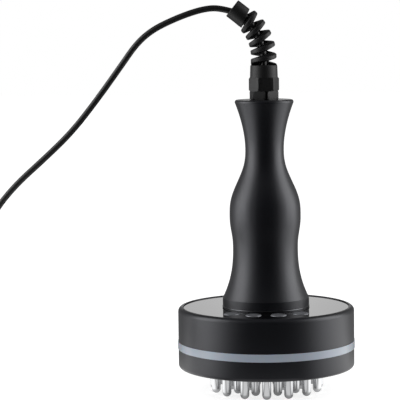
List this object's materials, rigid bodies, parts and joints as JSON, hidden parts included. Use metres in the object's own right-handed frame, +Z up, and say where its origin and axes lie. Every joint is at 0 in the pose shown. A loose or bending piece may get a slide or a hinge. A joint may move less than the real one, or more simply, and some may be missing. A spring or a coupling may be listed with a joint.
{
  "type": "electric gua sha massager",
  "caption": "Handheld electric scalp and body massager: round head with polished steel comb teeth, light ring, button panel, waisted handle and a low-voltage lead.",
  "frame": {"origin": "centre of the head on the plane that the tooth tips stand on", "axes": "+Z up along the handle; -Y towards the user's side with the buttons; the cord leaves to -X"},
  "size_m": [0.2792, 0.1023, 0.2213],
  "materials": {
    "casing": "satin moulded black ABS",
    "handle": "satin moulded black ABS",
    "panel": "high gloss black acrylic",
    "button": "silver painted gloss plastic",
    "diffuser": "translucent blue-grey acrylic",
    "tooth_steel": "polished steel",
    "plate": "milled aluminium",
    "heater": "amber polyimide film",
    "foam": "white felted insulation",
    "board": "green glass-fibre board",
    "lamp": "white lamp body",
    "component": "black moulded component",
    "capacitor": "aluminium can",
    "switch": "moulded switch housing",
    "plunger": "ivory plastic pin",
    "screw": "zinc plated steel",
    "bracket": "moulded nylon",
    "motor_steel": "drawn steel",
    "motor_cap": "white nylon",
    "magnet": "sintered ferrite",
    "bush": "sintered bronze",
    "weight": "turned brass",
    "gland": "moulded black nylon",
    "seal": "black rubber",
    "cord": "smooth black PVC",
    "wire": "red PVC insulation",
    "plug": "moulded black PVC",
    "plug_metal": "nickel plated brass",
    "plug_insulator": "black nylon"
  },
  "bodies": {
    "housing": {"lower_shell": "casing", "upper_shell": "casing", "handle_front": "handle", "handle_back": "handle", "control_panel": "panel", "light_ring": "diffuser", "teeth_outer": "tooth_steel", "teeth_middle": "tooth_steel", "teeth_inner": "tooth_steel", "tooth_center": "tooth_steel", "tooth_plate": "plate", "heater_film": "heater", "insulation_pad": "foam", "light_board": "board", "control_board": "board", "lamps": "lamp", "board_connector": "component", "driver_chips": "component", "board_capacitors": "capacitor", "tact_switches": "switch", "board_screws": "screw", "shell_screws": "screw", "bracket_screws": "screw", "motor_screws": "screw", "handle_screws": "screw", "base_screws": "screw", "motor_bracket": "bracket", "motor_can": "motor_steel", "motor_end_cap": "motor_cap", "motor_magnets": "magnet", "motor_bushes": "bush", "gland_body": "gland", "gland_locknut": "gland", "spiral_nut": "gland", "cable_tie": "gland", "gland_seal": "seal", "inner_lead": "cord", "cord": "cord", "cord_coil": "cord", "cord_tail": "cord", "lead_wires": "wire", "motor_wires": "wire", "plug_grip": "plug", "plug_barrel": "plug_metal", "plug_insulator": "plug_insulator"},
    "power_key": {"power_button": "button", "power_plunger": "plunger"},
    "heat_key": {"heat_button": "button", "heat_plunger": "plunger"},
    "vibration_key": {"vibration_button": "button", "vibration_plunger": "plunger"},
    "level_key": {"level_button": "button", "level_plunger": "plunger"},
    "motor_rotor": {"armature": "motor_steel", "motor_shaft": "motor_steel", "eccentric_weight": "weight"}
  },
  "joints": [
    {"name": "power_press", "type": "slide", "parent": "housing", "child": "power_key", "axis": [0, 0, -1], "range_m": [0, 0.0005], "stiffness_N_per_m": 2500},
    {"name": "heat_press", "type": "slide", "parent": "housing", "child": "heat_key", "axis": [0, 0, -1], "range_m": [0, 0.0005], "stiffness_N_per_m": 2500},
    {"name": "vibration_press", "type": "slide", "parent": "housing", "child": "vibration_key", "axis": [0, 0, -1], "range_m": [0, 0.0005], "stiffness_N_per_m": 2500},
    {"name": "level_press", "type": "slide", "parent": "housing", "child": "level_key", "axis": [0, 0, -1], "range_m": [0, 0.0005], "stiffness_N_per_m": 2500},
    {"name": "rotor_spin", "type": "hinge", "parent": "housing", "child": "motor_rotor", "pos_m": [0, 0, 0.045], "axis": [0, 0, 1], "continuous": true}
  ]
}
